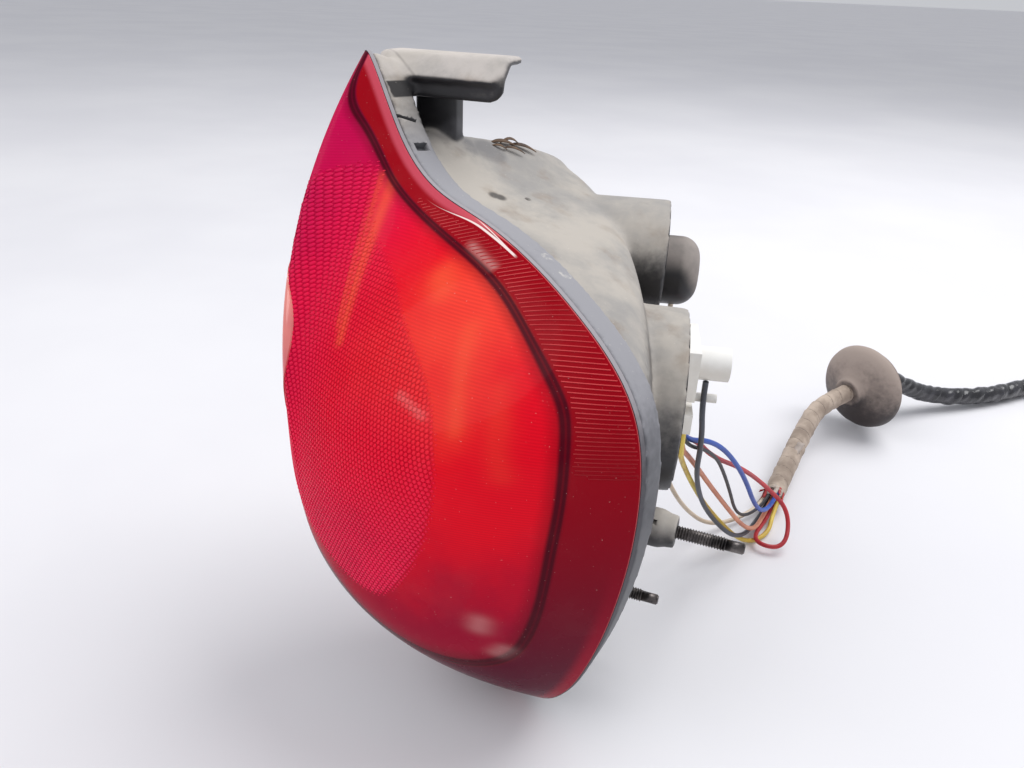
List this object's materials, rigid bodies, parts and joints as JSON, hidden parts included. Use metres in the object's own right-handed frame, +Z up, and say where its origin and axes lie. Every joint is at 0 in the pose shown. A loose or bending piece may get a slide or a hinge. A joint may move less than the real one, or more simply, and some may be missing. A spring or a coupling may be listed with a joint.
{
  "type": "tail light cluster",
  "caption": "Car tail light cluster with a deep red wrap-around lens, dusty black housing, two threaded fixing studs, a white bulb holder and its wiring loom with grommet.",
  "frame": {"origin": "centre of the seat of the upper fixing stud, on the end face of its pillar", "axes": "+X along the fixing studs, into the car; +Y towards the car's middle; +Z up as the lamp stands in the picture"},
  "size_m": [0.4266, 0.5003, 0.2249],
  "materials": {
    "red_lens": "clear red acrylic, polished, dusty",
    "clear_lens": "pale amber acrylic, polished",
    "black_housing": "moulded black plastic, grey with dust",
    "sealant": "black sealing bead",
    "reflector_silver": "vacuum-metallised plastic",
    "bulb_glass": "clear bulb glass on a metal cap",
    "amber_glass": "amber bulb glass on a metal cap",
    "white_plastic": "white moulded plastic, lightly yellowed",
    "seal_rubber": "soft black rubber",
    "contact_brass": "stamped brass",
    "stud_steel": "dark oxidised steel thread",
    "cap_rubber": "black rubber, satin",
    "grey_insulation": "grey wire insulation",
    "orange_insulation": "faded orange wire insulation",
    "blue_insulation": "blue wire insulation",
    "red_insulation": "red wire insulation",
    "yellow_insulation": "yellow wire insulation",
    "black_insulation": "black wire insulation",
    "beige_insulation": "beige wire insulation",
    "cloth_tape": "grey-brown cloth tape, dusty and fraying",
    "grommet_rubber": "grey-brown rubber, dusty",
    "black_tape": "black vinyl tape, crinkled",
    "plug_plastic": "black moulded plug",
    "latch_plastic": "grey locking slide",
    "pin_metal": "tinned terminal"
  },
  "bodies": {
    "root": {"lens": "red_lens", "indicator_lens": "clear_lens", "lens_seal": "sealant", "housing": "black_housing", "mounting_studs": "stud_steel", "main_reflector": "reflector_silver", "indicator_reflector": "reflector_silver", "stop_bulb": "bulb_glass", "indicator_bulb": "amber_glass", "bulb_holder": "white_plastic", "holder_seal": "seal_rubber", "holder_contacts": "contact_brass", "indicator_holder": "plug_plastic", "holder_cap": "cap_rubber", "wire_grey": "grey_insulation", "wire_orange": "orange_insulation", "wire_blue": "blue_insulation", "wire_red": "red_insulation", "wire_yellow": "yellow_insulation", "wire_black": "black_insulation", "wire_beige": "beige_insulation", "wire_sheath": "cloth_tape", "grommet": "grommet_rubber", "cable": "black_tape", "plug_body": "plug_plastic", "plug_pins": "pin_metal", "plug_latch": "latch_plastic"}
  },
  "joints": []
}
